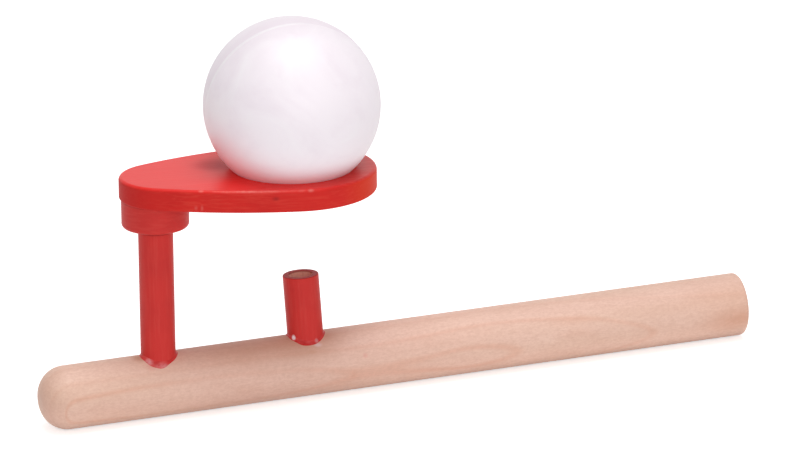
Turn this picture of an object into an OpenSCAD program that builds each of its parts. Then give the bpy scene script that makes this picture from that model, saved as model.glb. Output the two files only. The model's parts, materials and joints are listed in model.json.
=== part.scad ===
// Floating ball pipe toy: a wooden blow pipe with a drilled nozzle, and a ball
// that rests in the ring of a small plate carried on a post over the nozzle.
// Millimetres. The origin is the centre of the flat mouth end, +X points out of
// the mouth, the pipe runs back along -X and +Z points up.

/* [Pipe] */
// Length of the pipe from its round closed end to its flat mouth end
pipe_len = 168.4; // [130:0.1:240]
// Diameter of the pipe
pipe_d = 14.5; // [13.5:0.25:20]
// Radius that rounds off the closed end
end_round = 6.3; // [1:0.1:6.5]
// Radius that eases the outer edge of the mouth end
mouth_ease = 1; // [0.2:0.1:2]

/* [Air way] */
// Diameter of the air bore drilled in from the mouth end
air_d = 6; // [5.25:0.25:7]
// How far the air bore runs on past the nozzle
air_past_nozzle = 4; // [3.5:0.5:12]
// Full angle of the drill point that ends the air bore
drill_angle = 118; // [90:2:140]
// Diameter of the port that joins the air bore to the nozzle
port_d = 5; // [3:0.25:5]
// Wood left between the air bore and the foot of the nozzle
nozzle_land = 0.6; // [0.4:0.1:1.5]

/* [Post] */
// Distance from the closed end of the pipe to the axis of the post
post_from_end = 28; // [16:0.5:50]
// Diameter of the post
post_d = 7.9; // [6:0.05:9]
// How deep the post is glued into the pipe
post_depth = 9; // [5:0.5:11]
// How far the post leans towards the mouth end, in degrees
post_lean = 1.5; // [0:0.5:4]

/* [Collar] */
// Diameter of the collar under the plate
collar_d = 15.25; // [12:0.25:20]
// Height of the collar
collar_h = 6.6; // [4:0.1:12]
// Radius that eases the lower edge of the collar
collar_ease = 1; // [0.2:0.1:2]

/* [Ball plate] */
// Height of the underside of the plate above the axis of the pipe
plate_height = 44; // [36:0.5:60]
// Thickness of the plate
plate_t = 5.1; // [4:0.1:8]
// Distance from the axis of the post to the centre of the hole
hole_reach = 31.6; // [28:0.1:42]
// Diameter of the hole that the ball sits in
hole_d = 27.1; // [20:0.1:28]
// Depth of the slanted seat cut round the top of the hole
seat_ease = 0.5; // [0.2:0.1:1]
// Width of the rim of plate round the hole
rim_w = 5.35; // [4:0.05:8]
// Radius of the narrow end of the plate
narrow_r = 11.1; // [9:0.1:14]
// Radius of the long flanks between the narrow end and the wide end
flank_r = 95; // [60:5:400]
// How far the narrow end stands out past the collar
plate_lip = 0.4; // [0:0.05:3]
// How far the plate is swung about the post towards the front, in degrees
plate_swing = 6.25; // [0:0.25:12]
// How deep the top of the post is glued up into the plate
plate_socket = 3; // [2:0.25:3.5]

/* [Nozzle] */
// Diameter of the nozzle
nozzle_d = 8.2; // [7:0.1:9]
// Diameter of the bore through the nozzle
nozzle_bore = 5.5; // [4:0.25:6]
// Height of the top of the nozzle above the axis of the pipe
nozzle_top = 21.3; // [14:0.1:30]
// How much further from the post the nozzle is drilled than the hole in the plate
nozzle_ahead = 3.7; // [0:0.1:6]
// How far the nozzle leans back towards the post, in degrees
nozzle_lean = 1.5; // [0:0.5:4]
// How far the nozzle leans away from the front, in degrees
nozzle_side_lean = 2.4; // [0:0.2:4]

/* [Ball] */
// Diameter of the ball
ball_d = 40; // [38:0.5:46]
// Thickness of the shell of the ball
ball_wall = 0.4; // [0.3:0.05:1]
// Height of the inner lip that laps the seam of the ball
lap_h = 1.2; // [0.6:0.1:3]
// Thickness of the inner lip
lap_t = 0.3; // [0.2:0.05:0.8]
// How far the pole of the front shell is tipped over from straight up, in degrees
seam_tip = 100; // [0:1:180]
// How far that pole is turned about the upright axis, in degrees
seam_turn = 3; // [-90:1:90]
// Clearance between the resting ball and its seat
ball_gap = 0.2; // [0.1:0.05:0.5]

/* [Glue] */
// Radial clearance of every glued joint
glue_gap = 0.05; // [0.02:0.01:0.1]
// Width of the lacquer bead round the foot of the post and of the nozzle
bead_w = 0.7; // [0.4:0.1:1.5]
// Thickness of that bead over the surface of the pipe
bead_h = 0.6; // [0.3:0.1:1.2]

/* [Hidden] */
$fn = 96;
// Distance that a cutting tool runs on past a face
past = 1;

pipe_r = pipe_d / 2;
closed_round = min(end_round, pipe_r - past / 4);
air_r = air_d / 2;
ball_r = ball_d / 2;
shell_r = ball_r - ball_wall;
hole_r = hole_d / 2;

post_x = post_from_end - pipe_len;
post_foot = pipe_r - post_depth;
nozzle_x = post_x + hole_reach + nozzle_ahead;
nozzle_foot = air_r + nozzle_land;
air_depth = air_past_nozzle - nozzle_x;

wide_r = hole_r + rim_w;
narrow_x = narrow_r - collar_d / 2 - plate_lip;
seat_top_r = hole_r + seat_ease;
// The seat slants at 45 degrees, and the ball rests tangent to it
ball_z = plate_t + ball_r * sqrt(2) - seat_top_r + ball_gap;

wood = [0.86, 0.70, 0.61];
red = [0.78, 0.19, 0.17];
white = [0.95, 0.93, 0.95];

// Frames of the post, the plate and the nozzle, with their origins on the axis of the pipe

module on_post() {
    translate([post_x, 0, 0]) rotate([0, post_lean, 0]) children();
}

module on_plate() {
    on_post() translate([0, 0, plate_height]) rotate([0, 0, -plate_swing]) children();
}

module on_nozzle() {
    translate([nozzle_x, 0, 0]) rotate([-nozzle_side_lean, -nozzle_lean, 0]) children();
}

// A cylinder along Z from one height to another

module rod(r, from, to) {
    translate([0, 0, from]) cylinder(r = r, h = to - from);
}

// What is cut from a square corner to round it off, with the arc's centre at the origin

module corner_waste(round_r) {
    difference() {
        square(round_r + past);
        circle(r = round_r);
    }
}

// Half section of a rod that starts at y = 0, with its first corner rounded off

module rod_section(r, len, round_r) {
    difference() {
        square([r, len]);
        translate([r - round_r, round_r]) mirror([0, 1]) corner_waste(round_r);
    }
}

// Pipe

module air_bore() {
    point_h = air_r / tan(drill_angle / 2);
    rotate([0, -90, 0]) {
        rod(air_r, -past, air_depth);
        translate([0, 0, air_depth]) cylinder(r1 = air_r, r2 = 0, h = point_h);
    }
}

module pipe() {
    color(wood)
    difference() {
        translate([-pipe_len, 0, 0]) rotate([0, 90, 0]) rotate_extrude()
            difference() {
                rod_section(pipe_r, pipe_len, closed_round);
                translate([pipe_r - mouth_ease, pipe_len - mouth_ease]) corner_waste(mouth_ease);
            }
        air_bore();
        on_post() rod(post_d / 2 + glue_gap, post_foot, pipe_d);
        on_nozzle() rod(nozzle_d / 2 + glue_gap, nozzle_foot, pipe_d);
        on_nozzle() rod(port_d / 2, 0, nozzle_foot + past);
    }
}

// Holder: the post, the collar and the plate with its ring

module post() {
    color(red)
    on_post() rod(post_d / 2, post_foot, plate_height + plate_socket);
}

module collar() {
    color(red)
    on_post() difference() {
        translate([0, 0, plate_height - collar_h])
            rotate_extrude() rod_section(collar_d / 2, collar_h, collar_ease);
        rod(post_d / 2 + glue_gap, 0, plate_height + past);
    }
}

// Outline of two circles joined by flanks, which are arcs that touch both circles
module teardrop() {
    gap = hole_reach - narrow_x;
    from_narrow = flank_r - narrow_r;
    from_wide = flank_r - wide_r;
    along = (gap * gap + from_narrow * from_narrow - from_wide * from_wide) / (2 * gap);
    across = sqrt(from_narrow * from_narrow - along * along);
    // Far enough past the points where the arcs meet the circles to clear the rise of the arcs
    clear = 3 * past;
    on_narrow = [-along, across] / from_narrow * (narrow_r + clear);
    on_wide = [gap, 0] + [gap - along, across] / from_wide * (wide_r + clear);
    translate([narrow_x, 0]) {
        circle(r = narrow_r);
        translate([gap, 0]) circle(r = wide_r);
        intersection() {
            translate([along, -across]) circle(r = flank_r);
            translate([along, across]) circle(r = flank_r);
            polygon([[0, 0], on_narrow, on_wide, [gap, 0], across_x(on_wide), across_x(on_narrow)]);
        }
    }
}

function across_x(point) = [point[0], -point[1]];

module ball_plate() {
    color(red)
    difference() {
        on_plate() linear_extrude(plate_t) teardrop();
        on_plate() translate([hole_reach, 0, 0]) {
            rod(hole_r, -past, plate_t + past);
            translate([0, 0, plate_t - seat_ease])
                cylinder(r1 = hole_r, r2 = seat_top_r + past, h = seat_ease + past);
        }
        on_post() rod(post_d / 2 + glue_gap, 0, plate_height + plate_socket);
    }
}

// Nozzle

module nozzle() {
    color(red)
    on_nozzle() difference() {
        rod(nozzle_d / 2, nozzle_foot, nozzle_top);
        rod(nozzle_bore / 2, 0, nozzle_top + past);
    }
}

// Hollow ball of two shells that butt at the seam, with a lip of the back shell lapped inside

module at_ball() {
    on_plate() translate([hole_reach, 0, ball_z]) rotate([seam_tip, 0, seam_turn]) children();
}

module half_ball(r, side) {
    intersection() {
        sphere(r = r);
        translate([-ball_d, -ball_d, side > 0 ? 0 : -ball_d]) cube([2 * ball_d, 2 * ball_d, ball_d]);
    }
}

module ball_front_shell() {
    color(white)
    at_ball() difference() {
        half_ball(ball_r, 1);
        sphere(r = shell_r);
    }
}

module seam_lip() {
    difference() {
        union() {
            rod(shell_r + ball_wall / 2, -lap_h, 0);
            intersection() {
                rod(shell_r, -lap_h / 2, lap_h);
                sphere(r = shell_r - glue_gap);
            }
        }
        rod(shell_r - glue_gap - lap_t, -ball_r, ball_r);
    }
}

module ball_back_shell() {
    color(white)
    at_ball() {
        difference() {
            half_ball(ball_r, -1);
            sphere(r = shell_r);
        }
        seam_lip();
    }
}

// Beads of lacquer that follow the saddle where a foot enters the pipe. The first child is the
// rod that bounds the bead, and the second is the foot with its clearance

module round_pipe(over) {
    rotate([0, -90, 0]) rod(pipe_r + over, 0, pipe_len);
}

module saddle_bead() {
    color(red)
    difference() {
        intersection() {
            children(0);
            round_pipe(bead_h);
        }
        round_pipe(glue_gap);
        children(1);
    }
}

module post_bead() {
    saddle_bead() {
        on_post() rod(post_d / 2 + bead_w, 0, pipe_d);
        on_post() rod(post_d / 2 + glue_gap, 0, pipe_d + past);
    }
}

module nozzle_bead() {
    saddle_bead() {
        on_nozzle() rod(nozzle_d / 2 + bead_w, 0, pipe_d);
        on_nozzle() rod(nozzle_d / 2 + glue_gap, 0, pipe_d + past);
    }
}

pipe();
post();
collar();
ball_plate();
nozzle();
ball_front_shell();
ball_back_shell();
post_bead();
nozzle_bead();
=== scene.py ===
# Looks of the floating ball pipe toy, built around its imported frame. Metres, +Z up
import json
import math

import bmesh
import bpy
from mathutils import Matrix, Vector


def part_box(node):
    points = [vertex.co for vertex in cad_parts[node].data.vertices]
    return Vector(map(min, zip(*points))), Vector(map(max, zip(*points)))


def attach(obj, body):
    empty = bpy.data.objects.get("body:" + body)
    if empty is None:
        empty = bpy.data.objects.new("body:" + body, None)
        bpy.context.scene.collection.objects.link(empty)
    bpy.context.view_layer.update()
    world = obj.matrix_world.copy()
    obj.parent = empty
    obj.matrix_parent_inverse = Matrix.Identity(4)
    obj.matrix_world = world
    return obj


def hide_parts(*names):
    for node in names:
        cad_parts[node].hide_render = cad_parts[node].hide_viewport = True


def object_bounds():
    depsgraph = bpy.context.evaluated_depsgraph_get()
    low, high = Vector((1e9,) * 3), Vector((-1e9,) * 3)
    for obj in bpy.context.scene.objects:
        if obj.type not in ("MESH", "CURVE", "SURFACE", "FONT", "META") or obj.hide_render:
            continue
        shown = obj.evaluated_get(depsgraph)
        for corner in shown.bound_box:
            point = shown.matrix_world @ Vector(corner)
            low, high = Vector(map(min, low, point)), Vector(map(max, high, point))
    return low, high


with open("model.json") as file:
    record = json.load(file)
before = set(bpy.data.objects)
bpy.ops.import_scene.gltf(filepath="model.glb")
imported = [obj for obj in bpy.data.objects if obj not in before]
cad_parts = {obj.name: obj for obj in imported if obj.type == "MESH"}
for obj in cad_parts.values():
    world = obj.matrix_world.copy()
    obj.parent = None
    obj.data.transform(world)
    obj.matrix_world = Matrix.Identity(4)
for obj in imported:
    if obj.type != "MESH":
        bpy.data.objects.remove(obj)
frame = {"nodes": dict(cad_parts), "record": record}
cad_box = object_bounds()

MM = 0.001
UP = Vector((0, 0, 1))

# Camera: how the photograph looks at the toy, and where it puts the foot of the post
PHOTO_W, PHOTO_H = 792, 449
VIEW_AZIMUTH = math.radians(-17.73)
VIEW_ELEVATION = math.radians(17.51)
VIEW_ROLL = math.radians(2.12)
VIEW_DISTANCE = 1.5
PIXELS_PER_METRE = 4425
POST_FOOT_PIXEL = (158.9, 384.3)
SENSOR = 36
CLIP_END = 100

# Light. A lamp has its power in watts, its width, its distance and the direction that it stands in
AMBIENT = 0.42
LAMPS = {
    "key": (5.8, 0.65, 1.1, (0.045, -0.09, 1)),
    "fill": (7.6, 1.3, 1.5, (-0.08, -0.96, 0.24)),
}
FLOOR_HALF = 4.0
FLOOR_WHITE = 0.92
FLOOR_LIFT = 0.58

# Small forms that the frame's boxes don't give
MOUTH_EASE = 1.0 * MM
CLOSED_ROUND = 6.3 * MM
AIR_PAST_NOZZLE = 4.0 * MM
DRILL_ANGLE = math.radians(118)
POST_DEPTH = 9.0 * MM
NOZZLE_LAND = 0.6 * MM
PORT_R = 2.5 * MM
GLUE_GAP = 0.05 * MM
COLLAR_EASE = 1.0 * MM
PLATE_SOCKET = 3.0 * MM
PLATE_NARROW_R = 11.1 * MM
PLATE_FLANK_R = 95 * MM
PLATE_EASE = 0.8 * MM
PLATE_LOW_EASE = 0.5 * MM
SEAT_EASE = 0.5 * MM
SEAT_FILL = 0.2 * MM
EDGE_EASE = 0.25 * MM
JOINT_EASE = 0.12 * MM
BORE_EASE = 0.15 * MM
BARE_EDGE = BORE_EASE / 3
BALL_WALL = 0.4 * MM
LIP_HEIGHT = 1.2 * MM
LIP_THICK = 0.3 * MM
SEAM_STEP = 0.06 * MM
SEAM_EASE = 0.14 * MM
BEAD_WIDTH = 0.38 * MM
BEAD_HEIGHT = 0.6 * MM
BEAD_SINK = 0.04 * MM
# Exponent of the bead's section, where 1 is a round hollow and 2 a straight slope
BEAD_HOLLOW = 1.2
# How the bead's width wavers, as the share of it, the number of waves round the foot and the phase
BEAD_WAVES = ((0.10, 3, 0.6), (0.06, 7, 2))

# Drips of lacquer, as the angle round the foot, the extra share of width and the spread in degrees,
# and the most by which one is thicker than the bead
POST_DRIPS = ((-165, 0.5, 16), (-128, 1.8, 22), (-95, 1.3, 18), (-20, 0.3, 30))
NOZZLE_DRIPS = ((-150, 0.6, 14), (-122, 1.0, 20), (-80, 0.3, 20), (-20, 0.1, 30))
DRIP_MOST = 1.35

# Number of sides of what is round, and of steps round an eased edge
PIPE_SIDES = 192
ROD_SIDES = 128
DRILL_SIDES = 96
PLATE_SIDES = 288
BALL_SIDES = 144
BALL_RINGS = 44
BALL_INNER_RINGS = 14
BEAD_STEPS = 9
EASE_STEPS = 6
PIPE_EASE_STEPS = 24
# Shares of the plate's sides that go to its wide end, to each flank and to its narrow end
WIDE_SHARE, FLANK_SHARE, NARROW_SHARE = 0.5, 0.14, 0.22

# A ring smaller than this is a single point, and a corner sharper than this stays sharp
POINT_R = 1e-9
SHARP_ANGLE = math.radians(40)
# A point this share of the radius beyond each end of an arc keeps the face beside it flat
ARC_HOLD = 0.15
# Where drills start: from the pipe's axis, as a share of its radius, and under the plate
DRILL_START = 1.2
DRILL_UNDER = 1 * MM
# How far the open ends of the plate's sections run past their corners
SECTION_REACH = 10 * MM


# Measures of the frame

def corners_of(node):
    """The node's different corner points, in a fixed order."""
    corners = {vertex.co.to_tuple(7) for vertex in frame["nodes"][node].data.vertices}
    return [Vector(corner) for corner in sorted(corners)]


def middle_of(points):
    return sum(points, Vector()) / len(points)


def span_along(node, origin, axis):
    """Lowest and highest place of the node along an axis from the origin."""
    reach = [(p - origin).dot(axis) for p in corners_of(node)]
    return min(reach), max(reach)


def reach_about(node, origin, axis):
    """Shortest and longest distance of the node's corners from an axis."""
    away = [(p - origin).cross(axis).length for p in corners_of(node)]
    return min(away), max(away)


def frame_matrix(origin, x, y, z):
    """A place whose own axes are x, y and z."""
    turn = Matrix((x, y, z)).transposed().to_4x4()
    return Matrix.Translation(origin) @ turn


def upright_on(origin, axis):
    """A place with Z along the axis and X as near the mouth's direction as it can be."""
    y = axis.cross(Vector((1, 0, 0))).normalized()
    return frame_matrix(origin, y.cross(axis), y, axis)


def foot_on_pipe(point, axis):
    """Where a line meets the level of the pipe's axis."""
    return point - axis * (point.z / axis.z)


def post_line():
    """The axis of the post, from the middles of its two end faces."""
    points = corners_of("post")
    half = middle_of(points).z
    low = middle_of([p for p in points if p.z < half])
    high = middle_of([p for p in points if p.z > half])
    axis = (high - low).normalized()
    return foot_on_pipe(low, axis), axis


MOUNTS = {m["name"]: m for m in frame["record"]["mounts"]}
PIPE_LOW, PIPE_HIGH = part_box("pipe")
PIPE_R = (PIPE_HIGH.z - PIPE_LOW.z) / 2
PIPE_LEN = -PIPE_LOW.x
AIR_R = MOUNTS["mouth_bore"]["dims"]["r_mm"] * MM

POST_ORIGIN, POST_AXIS = post_line()
POST_PLACE = upright_on(POST_ORIGIN, POST_AXIS)
POST_R = reach_about("post", POST_ORIGIN, POST_AXIS)[1]
POST_SPAN = span_along("post", POST_ORIGIN, POST_AXIS)
COLLAR_R = reach_about("collar", POST_ORIGIN, POST_AXIS)[1]
COLLAR_SPAN = span_along("collar", POST_ORIGIN, POST_AXIS)

NOZZLE_AXIS = Vector(MOUNTS["nozzle_outlet"]["axis"]).normalized()
NOZZLE_ORIGIN = foot_on_pipe(Vector(MOUNTS["nozzle_outlet"]["pos_m"]), NOZZLE_AXIS)
NOZZLE_PLACE = upright_on(NOZZLE_ORIGIN, NOZZLE_AXIS)
NOZZLE_R = reach_about("nozzle", NOZZLE_ORIGIN, NOZZLE_AXIS)[1]
NOZZLE_SPAN = span_along("nozzle", NOZZLE_ORIGIN, NOZZLE_AXIS)
NOZZLE_BORE_R = MOUNTS["nozzle_outlet"]["dims"]["r_mm"] * MM

FRONT_LOW, FRONT_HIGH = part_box("ball_front_shell")
BACK_LOW, BACK_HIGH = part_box("ball_back_shell")
BALL_LOW = Vector([min(pair) for pair in zip(FRONT_LOW, BACK_LOW)])
BALL_HIGH = Vector([max(pair) for pair in zip(FRONT_HIGH, BACK_HIGH)])
BALL_CENTRE = (BALL_LOW + BALL_HIGH) / 2
BALL_R = (BALL_HIGH.z - BALL_LOW.z) / 2
BALL_POLE = (middle_of(corners_of("ball_front_shell")) - BALL_CENTRE).normalized()

PLATE_SPAN = span_along("ball_plate", POST_ORIGIN, POST_AXIS)
PLATE_T = PLATE_SPAN[1] - PLATE_SPAN[0]
TO_BALL = BALL_CENTRE - POST_ORIGIN - POST_AXIS * (BALL_CENTRE - POST_ORIGIN).dot(POST_AXIS)
HOLE_REACH = TO_BALL.length
PLATE_X = TO_BALL.normalized()
PLATE_ORIGIN = POST_ORIGIN + POST_AXIS * PLATE_SPAN[0]
PLATE_PLACE = frame_matrix(PLATE_ORIGIN, PLATE_X, POST_AXIS.cross(PLATE_X), POST_AXIS)
HOLE_R = reach_about("ball_plate", PLATE_ORIGIN + TO_BALL, POST_AXIS)[0]
PLATE_ENDS = span_along("ball_plate", PLATE_ORIGIN, PLATE_X)
PLATE_WIDE_R = PLATE_ENDS[1] - HOLE_REACH
PLATE_NARROW_X = PLATE_ENDS[0] + PLATE_NARROW_R


# Mesh building

def skin(name, rings, worn=None, closed=False):
    """Object of quads through rings of points. A ring of one point is a pole, and worn is a weight
    per ring."""
    count = max(len(ring) for ring in rings)
    starts, points = [], []
    for ring in rings:
        starts.append(len(points))
        points += ring
    pairs = [(k, k + 1) for k in range(len(rings) - 1)]
    if closed:
        pairs.append((len(rings) - 1, 0))
    faces = []
    for a, b in pairs:
        for i in range(count):
            j = (i + 1) % count
            corners = [starts[k] + n % len(rings[k]) for k, n in ((a, i), (a, j), (b, j), (b, i))]
            faces.append(list(dict.fromkeys(corners)))
    mesh = bpy.data.meshes.new(name)
    mesh.from_pydata([tuple(p) for p in points], [], faces)
    attribute = mesh.attributes.new("worn", "FLOAT", "POINT")
    weights = worn or [0] * len(rings)
    attribute.data.foreach_set("value", [w for w, ring in zip(weights, rings) for _ in ring])
    turn_outwards(mesh)
    piece = bpy.data.objects.new(name, mesh)
    bpy.context.scene.collection.objects.link(piece)
    return piece


def turn_outwards(mesh):
    shape = bmesh.new()
    shape.from_mesh(mesh)
    bmesh.ops.recalc_face_normals(shape, faces=shape.faces)
    shape.to_mesh(mesh)
    shape.free()


def shade(piece):
    """Smooth shading that keeps the sharp corners."""
    piece.data.polygons.foreach_set("use_smooth", [True] * len(piece.data.polygons))
    piece.data.set_sharp_from_angle(angle=SHARP_ANGLE)


def eased(corners, steps=EASE_STEPS):
    """Points (x, y, worn) along a section whose corners (x, y, radius) are rounded."""
    out = []
    for i, (x, y, radius) in enumerate(corners):
        here = Vector((x, y))
        if not radius:
            out.append((x, y, 0))
            continue
        back = (Vector(corners[i - 1][:2]) - here).normalized()
        on = (Vector(corners[(i + 1) % len(corners)][:2]) - here).normalized()
        half = back.angle(on) / 2
        centre = here + (back + on).normalized() * radius / math.sin(half)
        tangent = radius / math.tan(half)
        start = here + back * tangent - centre
        end = here + on * tangent - centre
        sweep = math.atan2(start.x * end.y - start.y * end.x, start.dot(end))
        hold = tangent + radius * ARC_HOLD
        out.append((*(here + back * hold), 0))
        for k in range(steps + 1):
            spoke = Matrix.Rotation(sweep * k / steps, 2) @ start
            out.append((*(centre + spoke), math.sin(math.pi * k / steps)))
        out.append((*(here + on * hold), 0))
    return out


def circle(r, height, sides):
    if r < POINT_R:
        return [Vector((0, 0, height))]
    steps = [2 * math.pi * i / sides for i in range(sides)]
    return [Vector((r * math.cos(a), r * math.sin(a), height)) for a in steps]


def lathe(name, section, sides=ROD_SIDES, closed=True):
    """A section (radius, height, worn) turned about Z."""
    rings = [circle(r, h, sides) for r, h, _ in section]
    return skin(name, rings, [w for _, _, w in section], closed)


def carve(piece, *cutters):
    """Cuts the cutters out of the piece and removes them."""
    for cutter in cutters:
        cut = piece.modifiers.new("cut", "BOOLEAN")
        cut.operation = "DIFFERENCE"
        cut.solver = "EXACT"
        cut.object = cutter
    bpy.context.view_layer.update()
    graph = bpy.context.evaluated_depsgraph_get()
    carved = bpy.data.meshes.new_from_object(piece.evaluated_get(graph))
    piece.modifiers.clear()
    piece.data = carved
    for cutter in cutters:
        bpy.data.objects.remove(cutter)


def drill(place, r, low, high):
    """A cutting rod in a place's own Z."""
    section = [(0, low, 0), (r, low, 0), (r, high, 0), (0, high, 0)]
    rod = lathe("drill", section, DRILL_SIDES, closed=False)
    rod.matrix_world = place
    return rod


def settle(piece, place):
    """Keeps the piece's own coordinates, in millimetres, for its material, and moves its mesh to
    its place."""
    own = piece.data.attributes.new("own", "FLOAT_VECTOR", "POINT")
    own.data.foreach_set("vector", [c / MM for v in piece.data.vertices for c in v.co])
    piece.data.transform(place)


def line_faces(piece, material, inside):
    """Gives a second material to the faces whose middle and corners all pass the test, in the
    piece's own millimetres."""
    piece.data.materials.append(material)
    index = len(piece.data.materials) - 1
    spots = [spot.vector.copy() for spot in piece.data.attributes["own"].data]
    passed = [inside(spot) for spot in spots]
    for face in piece.data.polygons:
        middle = middle_of([spots[k] for k in face.vertices])
        if all(passed[k] for k in face.vertices) and inside(middle):
            face.material_index = index


# Materials

class Surface:
    """A Principled material under construction, with lengths in millimetres of the piece's own
    axes."""

    def __init__(self, name, **settings):
        self.material = bpy.data.materials.new(name)
        self.material.use_nodes = True
        self.tree = self.material.node_tree
        self.shader = self.tree.nodes["Principled BSDF"]
        for socket, value in settings.items():
            self.shader.inputs[socket.replace("_", " ")].default_value = value
        self.mm = self.attribute("own", "Vector")

    def put(self, value, socket):
        if isinstance(value, bpy.types.NodeSocket):
            self.tree.links.new(value, socket)
        else:
            socket.default_value = value

    def add(self, kind, inputs=None, output=0, **settings):
        node = self.tree.nodes.new("ShaderNode" + kind)
        for key, value in settings.items():
            setattr(node, key, value)
        for key, value in (inputs or {}).items():
            self.put(value, node.inputs[key])
        return node.outputs[output]

    def attribute(self, name, output):
        return self.add("Attribute", output=output, attribute_type="GEOMETRY", attribute_name=name)

    def math(self, operation, a, b=0.0, clamp=False):
        return self.add("Math", {0: a, 1: b}, operation=operation, use_clamp=clamp)

    def vector(self, operation, a, b):
        output = "Vector" if operation == "MULTIPLY" else "Value"
        return self.add("VectorMath", {0: a, 1: b}, output, operation=operation)

    def axis(self, name):
        """The place along the piece's own X, Y or Z."""
        return self.add("SeparateXYZ", {0: self.mm}, name)

    def noise(self, stretch, detail=3.0, rough=0.5, distortion=0.0):
        """Noise of this many features per millimetre along each axis."""
        place = self.vector("MULTIPLY", self.mm, stretch)
        inputs = {"Vector": place, "Scale": 1.0, "Detail": detail, "Roughness": rough,
                  "Distortion": distortion}
        return self.add("TexNoise", inputs)

    def step(self, value, low, high, start=0.0, end=1.0):
        """Smooth step from start to end while the value goes from low to high."""
        inputs = {0: value, 1: low, 2: high, 3: start, 4: end}
        return self.add("MapRange", inputs, interpolation_type="SMOOTHSTEP")

    def mix(self, factor, a, b):
        return self.add("Mix", {0: factor, 6: a, 7: b}, 2, data_type="RGBA")

    def bump(self, height, distance, under=None):
        """A bump whose full height is distance in millimetres."""
        inputs = {"Height": height, "Distance": distance * MM, "Strength": 1.0}
        if under is not None:
            inputs["Normal"] = under
        return self.add("Bump", inputs)

    def blot(self, centre, reach, core=0.0):
        """1 at a spot and over the core's share of the way out, fading to 0 at this reach along
        each axis, in millimetres."""
        shrink = [1 / r for r in reach]
        spot = self.vector("MULTIPLY", self.mm, shrink)
        away = self.vector("DISTANCE", spot, [c * k for c, k in zip(centre, shrink)])
        return self.step(away, core, 1, 1, 0)

    def worn(self):
        """The share of wear that the mesh's edges carry."""
        return self.attribute("worn", "Fac")

    def finish(self, **links):
        for socket, value in links.items():
            self.put(value, self.shader.inputs[socket.replace("_", " ")])
        return self.material


# Linear colours of the wood, from its pale ground to its stains, and of the glue's pale spots,
# which are also painted glints
WOOD_LIGHT = (0.885, 0.60, 0.50, 1)
WOOD_CREAM = (0.87, 0.61, 0.49, 1)
WOOD_DARK = (0.62, 0.33, 0.225, 1)
WOOD_FLECK = (0.66, 0.38, 0.28, 1)
WOOD_RING = (0.72, 0.29, 0.16, 1)
WOOD_STAIN = (0.70, 0.34, 0.22, 1)
# Brown tint round the feet, also used as painted shade under the plate
WOOD_FOOT_TINT_AND_SHADE = (0.56, 0.24, 0.12, 1)
WOOD_SMEAR = (0.78, 0.28, 0.25, 1)
WOOD_DRILLED = (0.96, 0.52, 0.41, 1)
WOOD_DRILLED_DARK = (0.80, 0.36, 0.27, 1)
GLUE_GLINT_WHITE = (0.93, 0.74, 0.76, 1)

# Growth rings: how far apart they are, how far below the front they face, how they curl to the
# sides, the width of a line and how much it darkens the wood
RING_SPACING = 4.4
RING_DIP = math.radians(13)
RING_CURL = 0.004
RING_WIDTH = 0.8
RING_DEPTH = 0.36
# How far they sway, which is less near the front of the pipe than at its axis
RING_SWAY = (0, 5, 0.8, 0.1)
# Keeps a ring that runs out at the shallowest angle from growing without end
RING_GRAZE = 0.06
# How strong the evenly spaced rings are beside the two that show most
RING_FAINT = 0.3
# How far those two lie from the pipe's axis, in millimetres, along the pipe from its closed end
UPPER_RING = (
    (0, 4.5), (35, 4.4), (50, 4.3), (74, 4.9), (88, 4.6), (103, 3.9), (110, 4), (120, 4.6),
    (130, 5.5), (141, 6.9), (168.4, 9.3),
)
LOWER_RING = (
    (0, 9.5), (5, 6.8), (12, 6.5), (40, 6.3), (58, 6.7), (72, 7.2), (88, 7.1), (101, 6.85),
    (115, 7.5), (168.4, 12),
)
RING_MOST = 13
# Over which length of the pipe the upper ring gains strength, and over which distance from its
# palest place the lower one does, each with its strength before and after
UPPER_GAIN = (20, 90, 0.2, 0.65)
LOWER_PALEST = 42
LOWER_GAIN = (6, 30, 0.4, 0.95)

# Stains in the wood, as the centre, the reach along each axis, the strength and the colour. The
# first is the darker end grain of the closed end, which is partly painted shade on that end, and
# the last six are tints and smears round the feet of both dowels, whose brown tints are also
# painted shade of the plate's shadow on the pipe
STAINS = (
    # Darker end grain of the closed end, which is also painted shade where less light reaches that
    # end
    ((-169, -2, 1), (8, 16, 14), 0.36, WOOD_DARK),
    ((-3, -7.1, -1.6), (12, 3, 5), 0.75, WOOD_STAIN),
    ((-4, -6, 3.6), (18, 6, 8), 0.32, WOOD_STAIN),
    ((-1.6, -7.2, -0.8), (2.6, 1.4, 1.9), 0.35, WOOD_STAIN),
    ((-43.4, -6.3, 3.6), (8, 2.2, 1.9), 0.16, WOOD_RING),
    ((-42.4, -7.2, 1), (7, 2, 1.6), 0.1, WOOD_RING),
    ((-96.4, -7.05, -1.75), (1.2, 1, 2), 0.24, WOOD_RING),
    ((-99, -6, -4.05), (2.4, 1.2, 1.2), 0.14, WOOD_RING),
    ((-105.6, -5.6, 4.6), (1.3, 0.9, 0.9), 0.22, WOOD_RING),
    ((-93.4, -6.8, 2.4), (0.9, 0.9, 0.9), 0.36, (0.80, 0.20, 0.16, 1)),
    # Painted shade: the brown tints round and between the feet also stand in for the plate's shadow
    ((-145.1, -0.6, 7.2), (2.2, 3, 1.2), 0.9, WOOD_FOOT_TINT_AND_SHADE),
    ((-142.8, -4.2, 5.9), (2.2, 1.8, 1.6), 0.6, WOOD_SMEAR),
    ((-140.4, 0, 7), (9, 8, 5), 0.3, WOOD_FOOT_TINT_AND_SHADE),
    ((-106.5, -1, 7), (13, 10, 8), 0.5, WOOD_FOOT_TINT_AND_SHADE),
    ((-118, -2, 7.2), (26, 11, 9), 0.44, WOOD_FOOT_TINT_AND_SHADE),
    ((-101.2, -2.6, 6.8), (2, 2, 2), 0.3, WOOD_FOOT_TINT_AND_SHADE),
)
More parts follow.
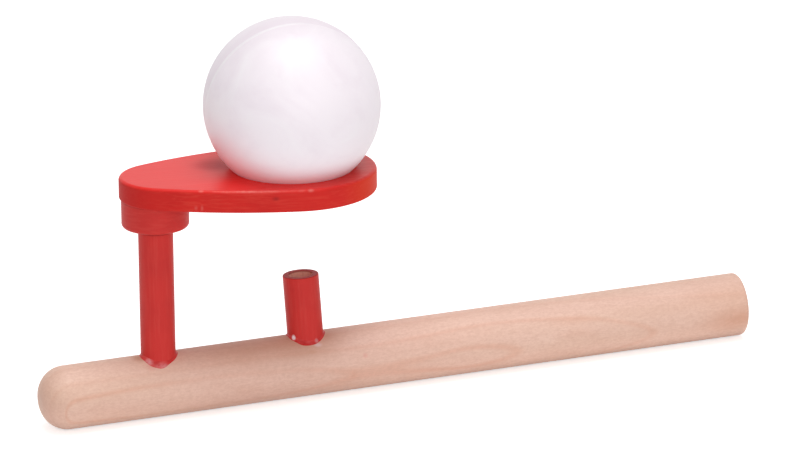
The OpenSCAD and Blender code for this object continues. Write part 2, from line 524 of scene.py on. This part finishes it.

# Pale spots of glue squeezed out at the feet, which are also painted glints, as the centre, the
# reach along each axis, the share of the reach that is solid and the strength, in millimetres of
# the axes of the pipe, the post and the nozzle
PIPE_GLUE_GLINTS = (
    ((-108.7, -1.9, 7), (0.7, 0.9, 0.7), 0.35, 0.9),
    ((-103.8, -4.5, 5.7), (1.3, 0.7, 0.9), 0.2, 0.55),
)
POST_GLUE_GLINTS = (
    ((-3.1, -3, 6.5), (1.5, 1.6, 1.8), 0, 0.34),
    ((-0.3, -4.8, 5.6), (3.2, 1.8, 1.3), 0, 0.26),
)
NOZZLE_GLUE_GLINTS = (
    ((-3.4, -2.2, 7.1), (0.6, 0.8, 1.1), 0.45, 1),
    ((1.4, -4.1, 6.3), (0.7, 0.7, 0.8), 0.2, 0.25),
)


def glue_and_glints(surface, colour, spots):
    """Adds the pale spots of glue, which are also painted glints, whose film is thinner in places.
    """
    film = surface.step(surface.noise((0.9, 0.9, 0.9), detail=3, rough=0.6), 0.35, 0.6, 0.4, 1)
    for at, reach, core, most in spots:
        share = surface.math("MULTIPLY", surface.blot(at, reach, core), most)
        share = surface.math("MULTIPLY", share, 1 if core else film)
        colour = surface.mix(share, colour, GLUE_GLINT_WHITE)
    return colour


def ring_distance(surface, from_end, ring):
    """A ring's distance from the axis, as a curve along the pipe from its closed end."""
    share = surface.math("DIVIDE", from_end, PIPE_LEN / MM, clamp=True)
    node = surface.tree.nodes.new("ShaderNodeFloatCurve")
    surface.put(share, node.inputs["Value"])
    curve = node.mapping.curves[0]
    spots = [(along * MM / PIPE_LEN, out / RING_MOST) for along, out in ring]
    curve.points[0].location = spots[0]
    curve.points[1].location = spots[-1]
    for spot in spots[1:-1]:
        curve.points.new(*spot)
    node.mapping.update()
    return surface.math("MULTIPLY", node.outputs[0], RING_MOST)


def maple():
    """Solid maple along X: growth rings that run out of the surface, mottle, flecks and fine
    fibres."""
    surface = Surface("maple", Roughness=0.5, Specular_IOR_Level=0.35)
    from_end = surface.math("ADD", surface.axis("X"), PIPE_LEN / MM)
    dip_y, dip_z = math.cos(RING_DIP), math.sin(RING_DIP)
    across = surface.vector("DOT_PRODUCT", surface.mm, (0, -dip_y, -dip_z))
    aside = surface.vector("DOT_PRODUCT", surface.mm, (0, dip_z, -dip_y))
    across2 = surface.math("MULTIPLY", across, across)
    aside2 = surface.math("MULTIPLY", aside, aside)
    sway = surface.math("SUBTRACT", surface.noise((0.045, 0.12, 0.12), detail=2), 0.5)
    sway = surface.math("MULTIPLY", sway, surface.step(across, *RING_SWAY))
    bent = surface.math("ADD", across, surface.math("MULTIPLY", aside2, RING_CURL))
    bent = surface.math("ADD", bent, sway)
    upper = surface.math("SUBTRACT", bent, ring_distance(surface, from_end, UPPER_RING))
    lower = surface.math("SUBTRACT", bent, ring_distance(surface, from_end, LOWER_RING))

    # A line keeps its width where a ring runs out of the surface at a shallow angle
    level = surface.math("DIVIDE", across2, surface.math("ADD", across2, aside2))
    slant = surface.math("SQRT", surface.math("SUBTRACT", 1 + RING_GRAZE, level))

    def line(distance, strength):
        away = surface.math("DIVIDE", surface.math("ABSOLUTE", distance), slant)
        return surface.math("MULTIPLY", surface.step(away, 0, RING_WIDTH, 1, 0), strength)

    wane = surface.step(surface.noise((0.03, 0.2, 0.2), detail=2), 0.35, 0.65, 0.75, 1)
    from_palest = surface.math("ABSOLUTE", surface.math("SUBTRACT", from_end, LOWER_PALEST))
    upper_line = line(upper, surface.step(from_end, *UPPER_GAIN))
    lower_line = line(lower, surface.step(from_palest, *LOWER_GAIN))
    lines = surface.math("MAXIMUM", upper_line, lower_line)
    even = surface.math("PINGPONG", upper, RING_SPACING / 2)
    lines = surface.math("MULTIPLY", surface.math("MAXIMUM", lines, line(even, RING_FAINT)), wane)

    # What lies between the rings, from broad bands to fine fibres
    bands = surface.add("TexNoise", {"W": upper, "Scale": 0.9, "Detail": 4.0, "Roughness": 0.6},
                        noise_dimensions="1D")
    mottle = surface.noise((0.06, 0.25, 0.25), detail=4, rough=0.6)
    speckle = surface.noise((0.9, 1.6, 1.6), detail=3, rough=0.6)
    grit = surface.noise((1.6, 3.0, 3.0), detail=2, rough=0.6)
    flecks = surface.noise((0.35, 3.5, 3.5), detail=2, rough=0.6)
    fibre = surface.noise((0.2, 8.0, 8.0), detail=2)

    colour = surface.mix(surface.step(bands, 0.35, 0.75, 0, 0.12), light_wood(surface), WOOD_DARK)
    colour = surface.mix(surface.step(mottle, 0.35, 0.7, 0, 0.18), colour, WOOD_DARK)
    colour = surface.mix(surface.math("MULTIPLY", lines, RING_DEPTH), colour, WOOD_RING)
    soaked = surface.step(speckle, 0.2, 0.8, 0.75, 1)
    for centre, reach, most, tone in STAINS:
        share = surface.math("MULTIPLY", surface.blot(centre, reach), soaked)
        colour = surface.mix(surface.math("MULTIPLY", share, most), colour, tone)
    colour = surface.mix(surface.step(speckle, 0.35, 0.7, 0, 0.26), colour, WOOD_FLECK)
    colour = surface.mix(surface.step(grit, 0.4, 0.7, 0, 0.24), colour, WOOD_FLECK)
    colour = surface.mix(surface.step(flecks, 0.5, 0.7, 0, 0.16), colour, WOOD_FLECK)
    colour = glue_and_glints(surface, colour, PIPE_GLUE_GLINTS)
    colour = surface.mix(surface.step(fibre, 0.3, 0.7, 0, 0.08), colour, WOOD_DARK)
    normal = surface.bump(fibre, 0.012)
    normal = surface.bump(speckle, 0.02, under=normal)
    return surface.finish(Base_Color=colour, Normal=normal)


def light_wood(surface):
    """The pale ground of the wood, which drifts between a pink and a cream tint."""
    tint = surface.noise((0.012, 0.1, 0.1), detail=1)
    return surface.mix(surface.step(tint, 0.3, 0.7), WOOD_LIGHT, WOOD_CREAM)


def drilled_wood(name, grain, mouth=None):
    """The rough wood inside a bore. Paint has run in at the mouth, which is a height along Z."""
    surface = Surface(name, Roughness=0.75, Specular_IOR_Level=0.3)
    fibre = surface.noise(grain, detail=4, rough=0.65)
    colour = surface.mix(surface.step(fibre, 0.3, 0.75), WOOD_DRILLED, WOOD_DRILLED_DARK)
    if mouth is not None:
        run_in = surface.step(surface.axis("Z"), mouth - 0.6, mouth - 0.1, 0, 0.8)
        colour = surface.mix(run_in, colour, RED_DARK)
    return surface.finish(Base_Color=colour, Normal=surface.bump(fibre, 0.08))


# Linear tones of the paint on the plate and on the dowels, thick, deep and thin, and its other
# reds. The dowels' tones are pinker than the plate's, a painted sheen
PLATE_REDS = ((0.66, 0.018, 0.013, 1), (0.55, 0.012, 0.010, 1), (0.72, 0.050, 0.032, 1))
DOWEL_REDS_WITH_SHEEN = ((0.64, 0.034, 0.029, 1), (0.54, 0.026, 0.024, 1), (0.71, 0.074, 0.058, 1))
# Painted light: the brighter red of the plate's top, lit from above
RED_TOP_LIT = (0.90, 0.024, 0.020, 1)
# Painted light: a brighter red on the plate's top in front of the ball, where the ball throws light
# back
RED_BALL_LIGHT = (0.98, 0.010, 0.006, 1)
RED_PALE = (0.72, 0.085, 0.078, 1)
RED_ORANGE = (0.74, 0.038, 0.007, 1)
# Painted shadow and reflection of the ball on the plate's top
RED_BALL_SHADE = (0.34, 0.008, 0.022, 1)
RED_DARK = (0.28, 0.012, 0.012, 1)
# Pale pink of worn paint, and of the painted highlight along the plate's front top edge
WORN_AND_SHEEN_PINK = (0.90, 0.42, 0.36, 1)


def red_paint(name, reds, grain, marks, streaks=0.25):
    """Thin red paint over wood. Grain has the features per millimetre along each axis, marks is a
    function that adds a piece's own marks and its painted light and shade to the colour, and
    streaks is how much the grain shows."""
    thick, deep, thin = reds
    surface = Surface(name, Roughness=0.5, Specular_IOR_Level=0.2)
    cloud = surface.noise((0.12, 0.12, 0.12), detail=3)
    streak = surface.noise(grain, detail=4, rough=0.6)
    peel = surface.noise((2.2, 2.2, 2.2), detail=2)
    colour = surface.mix(surface.step(cloud, 0.35, 0.7, 0, 0.5), thick, deep)
    colour = surface.mix(surface.step(streak, 0.42, 0.7, 0, streaks), colour, thin)
    colour = marks(surface, colour)
    normal = surface.bump(streak, 0.04)
    normal = surface.bump(peel, 0.015, under=normal)
    return surface.finish(Base_Color=colour, Normal=normal)


# How far down its rounded edge the plate's top counts as top, in millimetres, and the roughness of
# the top, of its spot of painted shadow and reflection by the ball and of the side
PLATE_TOP_DEPTH = 0.7
TOP_ROUGH, BALL_SHADE_ROUGH, SIDE_ROUGH = 0.34, 0.44, 0.6
# Over which millimetres along the plate its top's brighter red, which is painted light from above,
# fades out, the tip of its side turns orange and the painted shade on the side of its narrow end
# fades out, each with its strength before and after
PLATE_TOP_LIGHT = (27, 46, 0.75, 0)
PLATE_TIP = (38, 48, 0, 0.9)
PLATE_SHADE = (-6, 8, 0.7, 0)
# Marks on the plate, in millimetres of its own axes, as the centre, the reach along each axis and
# the strength: chips along its front top edge, and nicks above its lower edge
PLATE_CHIPS = (
    ((8.0, -13.9, 5.3), (1.1, 0.9, 0.8), 0.6), ((12.8, -15.4, 5.3), (1.8, 0.9, 0.6), 0.25),
    ((17.0, -16.5, 5.3), (1.5, 0.9, 0.8), 0.65), ((20.9, -17.4, 5.3), (2, 0.9, 0.7), 0.42),
    ((24.0, -18.0, 5.2), (1.2, 0.9, 0.6), 0.2), ((29.8, -18.7, 5.1), (1.7, 0.9, 0.6), 0.22),
    ((32.0, -18.8, 5.0), (1.1, 0.9, 0.7), 0.4), ((6.9, -13.6, 1.1), (0.6, 0.6, 0.8), 0.13),
    ((8.2, -14.0, 1.1), (0.5, 0.5, 1.1), 0.16),
)
# Where the front top edge is worn, which is also a painted highlight along the rounded edge, a knot
# in the side, and on the top a painted shadow and reflection of the ball beside it and painted
# light in front of it, where the ball throws light back
PLATE_WEAR_AND_SHEEN = ((19, -16.6, 5.3), (17, 6, 0.9))
PLATE_KNOT, KNOT_STRENGTH = ((24.2, -18.0, 3.3), (1.3, 1, 0.75)), 0.6
PLATE_BALL_SHADE, BALL_SHADE_STRENGTH = ((14.5, 5.5, 5.1), (7, 7.3, 2), 0.1), 0.44
PLATE_BALL_LIGHT, BALL_LIGHT_STRENGTH = ((16, -9.5, 5.1), (13, 8, 2)), 0.6


def plate_marks(surface, colour):
    """Tells the top from the side, paints light on the top and shade on the side of the narrow end,
    and adds the painted shadow and light by the ball, its worn edge with its painted highlight, its
    chips and its knot."""
    x = surface.axis("X")
    top = surface.step(surface.axis("Z"), PLATE_T / MM - PLATE_TOP_DEPTH, PLATE_T / MM)
    side = surface.math("SUBTRACT", 1, top)
    ball_shade = surface.blot(*PLATE_BALL_SHADE)
    rough = surface.math(
        "MAXIMUM",
        surface.step(top, 0, 1, SIDE_ROUGH, TOP_ROUGH),
        surface.step(ball_shade, 0, 1, TOP_ROUGH, BALL_SHADE_ROUGH),
    )
    surface.put(rough, surface.shader.inputs["Roughness"])
    # Painted light on the top, painted shade on the side of the narrow end, and the side's orange
    # tip
    for part, fade, tone in (
        (side, PLATE_TIP, RED_ORANGE),
        (side, PLATE_SHADE, PLATE_REDS[1]),
        (top, PLATE_TOP_LIGHT, RED_TOP_LIT),
    ):
        colour = surface.mix(surface.math("MULTIPLY", part, surface.step(x, *fade)), colour, tone)
    # Painted light in front of the ball, then painted shadow and reflection of the ball beside it
    ball_light = surface.math("MULTIPLY", top, surface.blot(*PLATE_BALL_LIGHT))
    colour = surface.mix(surface.math("MULTIPLY", ball_light, BALL_LIGHT_STRENGTH), colour, RED_BALL_LIGHT)
    colour = surface.mix(surface.math("MULTIPLY", ball_shade, BALL_SHADE_STRENGTH), colour, RED_BALL_SHADE)
    # Worn paint along the front top edge, which is also a painted highlight on the rounded edge,
    # and chips
    chips = surface.noise((0.8, 0.8, 0.8), detail=4, rough=0.65)
    chips = surface.step(chips, 0.36, 0.62, 0.28, 0.6)
    share = surface.math("MULTIPLY", surface.blot(*PLATE_WEAR_AND_SHEEN), chips)
    share = surface.math("MULTIPLY", surface.worn(), share)
    for at, reach, most in PLATE_CHIPS:
        chip = surface.math("MULTIPLY", surface.blot(at, reach), most)
        share = surface.math("MAXIMUM", share, chip)
    colour = surface.mix(share, colour, WORN_AND_SHEEN_PINK)
    knot = surface.math("MULTIPLY", surface.blot(*PLATE_KNOT), KNOT_STRENGTH)
    return surface.mix(knot, colour, RED_DARK)


# In millimetres: how far below the collar the post's dark ring is, how deep the painted shade in
# the collar's joint reaches down and how deep the nozzle's dark end grain, which is partly painted
# shade, does
RING_BELOW = 0.9
JOINT_SHADE_DEEP = 0.7
END_GRAIN_SHADE_DEEP = 0.2


def post_marks(surface, colour):
    """A dark ring just below the collar."""
    ring = COLLAR_SPAN[0] / MM - RING_BELOW
    away = surface.math("ABSOLUTE", surface.math("SUBTRACT", surface.axis("Z"), ring))
    return surface.mix(surface.step(away, 0.05, 0.4, 0.6, 0), colour, RED_DARK)


def collar_shade(surface, colour):
    """Painted shade: darkens the joint under the plate, where no light gets in."""
    joint = COLLAR_SPAN[1] / MM
    dark = surface.step(surface.axis("Z"), joint - JOINT_SHADE_DEEP, joint, 0, 0.55)
    return surface.mix(dark, colour, RED_DARK)


def nozzle_marks(surface, colour):
    """Darkens the end grain at the top, which drinks the paint and is also painted shade under the
    plate and ball, and adds glue at the foot, whose pale spots are also painted glints.
    """
    top = NOZZLE_SPAN[1] / MM
    dark = surface.step(surface.axis("Z"), top - END_GRAIN_SHADE_DEEP, top, 0, 0.7)
    return glue_and_glints(surface, surface.mix(dark, colour, RED_DARK), NOZZLE_GLUE_GLINTS)


def red_lacquer(name, spots):
    """Thick red lacquer, a little smoother than the paint, with spots of glue that are also painted
    glints.
    """
    surface = Surface(name, Roughness=0.42, Specular_IOR_Level=0.2)
    cloud = surface.noise((0.6, 0.6, 0.6), detail=2)
    pale = surface.noise((0.5, 0.5, 0.5), detail=3)
    colour = surface.mix(surface.step(cloud, 0.35, 0.65), DOWEL_REDS_WITH_SHEEN[0], DOWEL_REDS_WITH_SHEEN[1])
    colour = surface.mix(surface.step(pale, 0.4, 0.65, 0, 0.6), colour, RED_PALE)
    colour = glue_and_glints(surface, colour, spots)
    return surface.finish(Base_Color=colour, Normal=surface.bump(cloud, 0.1))


# Linear colours of the ball
BALL_WHITE = (0.96, 0.885, 0.938, 1)
BALL_GREY = (0.84, 0.73, 0.81, 1)
BALL_MILK = (0.98, 0.94, 0.97, 1)
# How much greyer each shell is beside the seam
FRONT_GREY, BACK_GREY = 0.0, 0.5


def ball_plastic(name, grey_share):
    """Thin milky plastic with a faint swirl. Local Z runs from the back shell to the front one."""
    surface = Surface(name, Roughness=0.5, Specular_IOR_Level=1.0)
    swirl = surface.noise((0.05, 0.05, 0.05), detail=5, rough=0.6, distortion=1.2)
    milk = surface.noise((0.07, 0.07, 0.07), detail=3, distortion=0.8)
    smudge = surface.noise((0.16, 0.16, 0.16), detail=4, rough=0.6)
    away = surface.math("ABSOLUTE", surface.axis("Z"))
    # The pale line of the seam fades out towards the mouth end
    fade = surface.step(surface.axis("X"), -8, 4)
    line = surface.math("MULTIPLY", surface.step(away, 0.1, 0.8, 0.8, 0), fade)
    beside = surface.math("MULTIPLY", surface.step(away, 0.5, 7, 1, 0), grey_share)
    colour = surface.mix(surface.step(swirl, 0.4, 0.7, 0, 0.35), BALL_WHITE, BALL_GREY)
    colour = surface.mix(surface.step(smudge, 0.5, 0.75, 0, 0.2), colour, BALL_GREY)
    colour = surface.mix(beside, colour, BALL_GREY)
    colour = surface.mix(surface.step(milk, 0.52, 0.72, 0, 0.5), colour, BALL_MILK)
    colour = surface.mix(line, colour, BALL_MILK)
    return surface.finish(Base_Color=colour, Normal=surface.bump(smudge, 0.03))


# Pieces

def dress(piece, place, material, body, slot, *nodes):
    """Puts a piece in its place, gives it its material and its body, and hides the nodes it stands
    for.
    """
    settle(piece, place)
    piece.data.materials.clear()
    piece.data.materials.append(material)
    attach(piece, body)
    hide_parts(*nodes)
    shade(piece)


def make_pipe():
    """The pipe, its air bore and the sockets drilled for the post and the nozzle."""
    air_depth = AIR_PAST_NOZZLE - NOZZLE_ORIGIN.x
    point = air_depth + AIR_R / math.tan(DRILL_ANGLE / 2)
    section = eased([
        (0, point, 0), (AIR_R, air_depth, 0), (AIR_R, 0, BORE_EASE), (PIPE_R, 0, MOUTH_EASE),
        (PIPE_R, PIPE_LEN, CLOSED_ROUND), (0, PIPE_LEN, 0),
    ], steps=PIPE_EASE_STEPS)
    pipe = lathe("pipe_wood", section, PIPE_SIDES, closed=False)
    pipe.data.transform(Matrix.Rotation(-math.pi / 2, 4, "Y"))
    over = PIPE_R * DRILL_START
    sockets = ((POST_PLACE, POST_R + GLUE_GAP), (NOZZLE_PLACE, NOZZLE_R + GLUE_GAP))
    carve(
        pipe,
        drill(*sockets[0], PIPE_R - POST_DEPTH, over),
        drill(*sockets[1], AIR_R + NOZZLE_LAND, over),
        drill(NOZZLE_PLACE, PORT_R, 0, AIR_R + NOZZLE_LAND + GLUE_GAP),
    )
    dress(pipe, Matrix(), maple(), "toy", "pipe_wood", "pipe")

    def drilled(spot):
        spot = spot * MM
        if math.hypot(spot.y, spot.z) < AIR_R + GLUE_GAP and -point < spot.x + GLUE_GAP < 0:
            return True
        own = [(place.inverted() @ spot, r + GLUE_GAP / 2) for place, r in sockets]
        return any(math.hypot(at.x, at.y) < reach and at.z > -POST_DEPTH for at, reach in own)

    line_faces(pipe, drilled_wood("maple_drilled", (0.3, 2.5, 2.5)), drilled)


def make_post():
    low, high = POST_SPAN
    section = eased([
        (0, low, 0), (POST_R, low, EDGE_EASE), (POST_R, high, EDGE_EASE), (0, high, 0),
    ])
    post = lathe("post_paint", section, closed=False)
    paint = red_paint("red_paint_post", DOWEL_REDS_WITH_SHEEN, (1.3, 1.3, 0.08), post_marks)
    dress(post, POST_PLACE, paint, "toy", "red_paint", "post")


def make_collar():
    low, high = COLLAR_SPAN
    bore = POST_R + GLUE_GAP
    section = eased([
        (bore, low, 0), (COLLAR_R, low, COLLAR_EASE), (COLLAR_R, high, JOINT_EASE), (bore, high, 0),
    ])
    collar = lathe("collar_paint", section)
    paint = red_paint("red_paint_collar", DOWEL_REDS_WITH_SHEEN, (0.25, 0.25, 1.6), collar_shade)
    dress(collar, POST_PLACE, paint, "toy", "red_paint", "collar")


def make_nozzle():
    low, high = NOZZLE_SPAN
    section = eased([
        (NOZZLE_BORE_R, low, 0), (NOZZLE_R, low, 0), (NOZZLE_R, high, EDGE_EASE),
        (NOZZLE_BORE_R, high, BORE_EASE),
    ])
    nozzle = lathe("nozzle_paint", section)
    paint = red_paint("red_paint_nozzle", DOWEL_REDS_WITH_SHEEN, (1.3, 1.3, 0.1), nozzle_marks)
    dress(nozzle, NOZZLE_PLACE, paint, "toy", "red_paint", "nozzle")
    bore = (NOZZLE_BORE_R + BARE_EDGE) / MM
    bare = drilled_wood("nozzle_drilled", (2.5, 2.5, 0.3), high / MM)
    line_faces(nozzle, bare, lambda spot: math.hypot(spot.x, spot.y) < bore)


def teardrop(inset, sides):
    """Outline of the plate moved in by inset: an arc round each end, and a long arc on each flank
    that touches both."""
    gap = HOLE_REACH - PLATE_NARROW_X
    from_narrow, from_wide = PLATE_FLANK_R - PLATE_NARROW_R, PLATE_FLANK_R - PLATE_WIDE_R
    along = (gap ** 2 + from_narrow ** 2 - from_wide ** 2) / (2 * gap)
    across = math.sqrt(from_narrow ** 2 - along ** 2)
    at_narrow, at_wide = math.atan2(across, -along), math.atan2(across, gap - along)
    middle = PLATE_NARROW_X + along
    # Centre, radius, first and last angle, and share of the sides
    arcs = (
        (HOLE_REACH, 0, PLATE_WIDE_R, -at_wide, at_wide, WIDE_SHARE),
        (middle, -across, PLATE_FLANK_R, at_wide, at_narrow, FLANK_SHARE),
        (PLATE_NARROW_X, 0, PLATE_NARROW_R, at_narrow, 2 * math.pi - at_narrow, NARROW_SHARE),
        (middle, across, PLATE_FLANK_R, -at_narrow, -at_wide, FLANK_SHARE),
    )
    points = []
    for x, y, r, start, end, share in arcs:
        steps = round(sides * share)
        turns = [start + (end - start) * k / steps for k in range(steps)]
        reach = r - inset
        points += [Vector((x + reach * math.cos(a), y + reach * math.sin(a))) for a in turns]
    return points


def make_plate():
    """The ball plate: a section that runs round between the outline and the hole, whose paint fills
    most of the gap under the ball."""
    centre = Vector((HOLE_REACH, 0))
    spokes = [(p - centre).normalized() for p in teardrop(0, PLATE_SIDES)]
    # Corners of each section as (distance out from the outline or from the hole, height, radius)
    outer = eased([
        (-SECTION_REACH, PLATE_T, 0), (0, PLATE_T, PLATE_EASE), (0, 0, PLATE_LOW_EASE),
        (-SECTION_REACH, 0, 0),
    ])[1:-1]
    hole = eased([
        (SECTION_REACH, 0, 0), (0, 0, EDGE_EASE), (0, PLATE_T - SEAT_EASE, BORE_EASE),
        (SEAT_EASE, PLATE_T, BORE_EASE), (SECTION_REACH, PLATE_T, 0),
    ])[1:-1]
    rings, weights = [], []
    for x, z, worn in outer:
        rings.append([Vector((*p, z)) for p in teardrop(-x, PLATE_SIDES)])
        weights.append(worn if z > PLATE_T / 2 else 0)
    for x, z, _ in hole:
        away = HOLE_R - SEAT_FILL + x
        rings.append([Vector((*(centre + spoke * away), z)) for spoke in spokes])
        weights.append(0)
    plate = skin("ball_plate_paint", rings, weights, closed=True)
    carve(plate, drill(Matrix(), POST_R + GLUE_GAP, -DRILL_UNDER, PLATE_SOCKET))
    paint = red_paint("red_paint_plate", PLATE_REDS, (0.07, 0.9, 2.0), plate_marks, 0.5)
    dress(plate, PLATE_PLACE, paint, "toy", "red_paint", "ball_plate")


def arc_section(r, start, end, steps):
    """Points (radius, height, worn) on a sphere, by the angle from the pole."""
    angles = [math.radians(start + (end - start) * k / steps) for k in range(steps + 1)]
    return [(r * math.sin(a), r * math.cos(a), 0) for a in angles]


def make_ball():
    """The two shells of the ball. Local Z is the pole of the front shell."""
    x = BALL_POLE.cross(UP).normalized()
    place = frame_matrix(BALL_CENTRE, x, BALL_POLE.cross(x), BALL_POLE)
    inner = BALL_R - BALL_WALL
    edge = math.degrees(SEAM_EASE / BALL_R)
    front = [
        *arc_section(BALL_R, 0, 90 - edge, BALL_RINGS),
        (BALL_R - SEAM_EASE, 0, 0),
        *arc_section(inner, 90, 0, BALL_INNER_RINGS),
    ]
    lip_r = math.sqrt((inner - GLUE_GAP) ** 2 - LIP_HEIGHT ** 2)
    under_lip = math.degrees(math.asin((LIP_HEIGHT + BALL_WALL) / inner))
    outside = arc_section(BALL_R, 180, 90 + edge, BALL_RINGS)
    back = [
        *((r - SEAM_STEP * math.exp(height / MM), height, worn) for r, height, worn in outside),
        (BALL_R - SEAM_STEP - SEAM_EASE, 0, 0),
        (lip_r, 0, 0), (lip_r, LIP_HEIGHT, 0),
        (lip_r - LIP_THICK, LIP_HEIGHT, 0), (lip_r - LIP_THICK, -LIP_HEIGHT, 0),
        *arc_section(inner, 90 + under_lip, 180, BALL_INNER_RINGS),
    ]
    for name, section, grey_share in (
        ("ball_front_shell", front, FRONT_GREY), ("ball_back_shell", back, BACK_GREY),
    ):
        shell = lathe(name + "_plastic", section, BALL_SIDES, closed=False)
        plastic = ball_plastic(name + "_plastic", grey_share)
        dress(shell, place, plastic, "ball", "ball_shell", name)


def saddle_height(place, r, angle):
    """Height in the place's own Z at which a line beside it leaves the pipe's surface."""
    start = place @ Vector((r * math.cos(angle), r * math.sin(angle), 0))
    axis = place.to_3x3() @ UP
    a = axis.y ** 2 + axis.z ** 2
    b = start.y * axis.y + start.z * axis.z
    c = start.y ** 2 + start.z ** 2 - PIPE_R ** 2
    return (math.sqrt(b * b - a * c) - b) / a


def make_bead(node, place, r, drips, glue_glints):
    """A bead of lacquer along the saddle, with drips (angle, extra, spread in degrees) and spots of
    glue that are also painted glints."""
    columns = []
    for i in range(ROD_SIDES):
        angle = 2 * math.pi * i / ROD_SIDES
        swell = 1
        for share, waves, phase in BEAD_WAVES:
            swell += share * math.sin(waves * angle + phase)
        for at, extra, spread in drips:
            turn = (math.degrees(angle) - at + 180) % 360 - 180
            swell += extra * math.exp(-(turn / spread) ** 2)
        width, height = BEAD_WIDTH * swell, BEAD_HEIGHT * min(swell, DRIP_MOST)
        # The foot under the surface, and then the hollow side from the outer edge up to the dowel
        spots = [(r - BEAD_SINK, -BEAD_SINK), (r + width, -BEAD_SINK)]
        for k in range(BEAD_STEPS + 1):
            lift = math.pi / 2 * k / BEAD_STEPS
            away = r + width - (width + BEAD_SINK) * math.sin(lift) ** BEAD_HOLLOW
            spots.append((away, height * (1 - math.cos(lift) ** BEAD_HOLLOW)))
        columns.append([
            Vector((away * math.cos(angle), away * math.sin(angle),
                    saddle_height(place, away, angle) + lift))
            for away, lift in spots
        ])
    bead = skin(node + "_lacquer", list(zip(*columns)), closed=True)
    lacquer = red_lacquer("red_lacquer_" + node, glue_glints)
    dress(bead, place, lacquer, "toy", "red_lacquer", node)


# Set

def make_floor():
    signs = ((-1, -1), (1, -1), (1, 1), (-1, 1))
    corners = [(x * FLOOR_HALF, y * FLOOR_HALF, PIPE_LOW.z) for x, y in signs]
    mesh = bpy.data.meshes.new("floor")
    mesh.from_pydata(corners, [], [(0, 1, 2, 3)])
    floor = bpy.data.objects.new("floor", mesh)
    bpy.context.scene.collection.objects.link(floor)
    material = bpy.data.materials.new("floor_white")
    material.use_nodes = True
    tree = material.node_tree
    shader = tree.nodes["Principled BSDF"]
    shader.inputs["Base Color"].default_value = (FLOOR_WHITE, FLOOR_WHITE, FLOOR_WHITE, 1)
    shader.inputs["Roughness"].default_value = 1
    shader.inputs["Specular IOR Level"].default_value = 0
    shader.inputs["Emission Color"].default_value = (1, 1, 1, 1)
    seen = seen_share(tree)
    lift = tree.nodes.new("ShaderNodeMath")
    lift.operation = "MULTIPLY"
    tree.links.new(seen, lift.inputs[0])
    lift.inputs[1].default_value = FLOOR_LIFT
    tree.links.new(lift.outputs[0], shader.inputs["Emission Strength"])
    mesh.materials.append(material)


def seen_share(tree):
    """1 for the rays that show a background, which are camera, glossy and transmission rays."""
    path = tree.nodes.new("ShaderNodeLightPath")
    share = path.outputs["Is Camera Ray"]
    for kind in ("Is Glossy Ray", "Is Transmission Ray"):
        most = tree.nodes.new("ShaderNodeMath")
        most.operation = "MAXIMUM"
        tree.links.new(share, most.inputs[0])
        tree.links.new(path.outputs[kind], most.inputs[1])
        share = most.outputs[0]
    return share


def make_world():
    """Even light from all round, under a background that shows as white."""
    world = bpy.data.worlds.new("studio")
    world.use_nodes = True
    tree = world.node_tree
    background = tree.nodes["Background"]
    background.inputs["Color"].default_value = (1, 1, 1, 1)
    strength = tree.nodes.new("ShaderNodeMapRange")
    tree.links.new(seen_share(tree), strength.inputs["Value"])
    strength.inputs["To Min"].default_value = AMBIENT
    strength.inputs["To Max"].default_value = 1
    tree.links.new(strength.outputs[0], background.inputs["Strength"])
    bpy.context.scene.world = world


def make_lamp(name, watts, width, distance, direction):
    lamp = bpy.data.lights.new(name, "AREA")
    lamp.energy = watts
    lamp.size = width
    away = Vector(direction).normalized()
    piece = bpy.data.objects.new(name, lamp)
    piece.location = (cad_box[0] + cad_box[1]) / 2 + away * distance
    piece.rotation_euler = away.to_track_quat("Z", "Y").to_euler()
    bpy.context.scene.collection.objects.link(piece)


def make_camera():
    """Looks at the toy as the photograph does."""
    level = Vector((math.cos(VIEW_AZIMUTH), math.sin(VIEW_AZIMUTH), 0))
    ahead = Vector((-math.sin(VIEW_AZIMUTH), math.cos(VIEW_AZIMUTH), 0)) * math.cos(VIEW_ELEVATION)
    ahead -= UP * math.sin(VIEW_ELEVATION)
    upward = level.cross(ahead)
    right = level * math.cos(VIEW_ROLL) - upward * math.sin(VIEW_ROLL)
    top = level * math.sin(VIEW_ROLL) + upward * math.cos(VIEW_ROLL)
    aside = (POST_FOOT_PIXEL[0] - PHOTO_W / 2) / PIXELS_PER_METRE
    above = (PHOTO_H / 2 - POST_FOOT_PIXEL[1]) / PIXELS_PER_METRE
    lens = bpy.data.cameras.new("camera")
    lens.sensor_width = SENSOR
    lens.lens = SENSOR * PIXELS_PER_METRE * VIEW_DISTANCE / PHOTO_W
    lens.clip_end = CLIP_END
    camera = bpy.data.objects.new("camera", lens)
    place = POST_ORIGIN - right * aside - top * above - ahead * VIEW_DISTANCE
    camera.matrix_world = frame_matrix(place, right, top, -ahead)
    bpy.context.scene.collection.objects.link(camera)
    bpy.context.scene.camera = camera


make_camera()
make_world()
for lamp_name, measures in LAMPS.items():
    make_lamp(lamp_name, *measures)
make_floor()
bpy.context.scene.view_settings.view_transform = "Standard"

make_pipe()
make_post()
make_collar()
make_plate()
make_nozzle()
make_ball()
make_bead("post_bead", POST_PLACE, POST_R, POST_DRIPS, POST_GLUE_GLINTS)
make_bead("nozzle_bead", NOZZLE_PLACE, NOZZLE_R, NOZZLE_DRIPS, NOZZLE_GLUE_GLINTS)
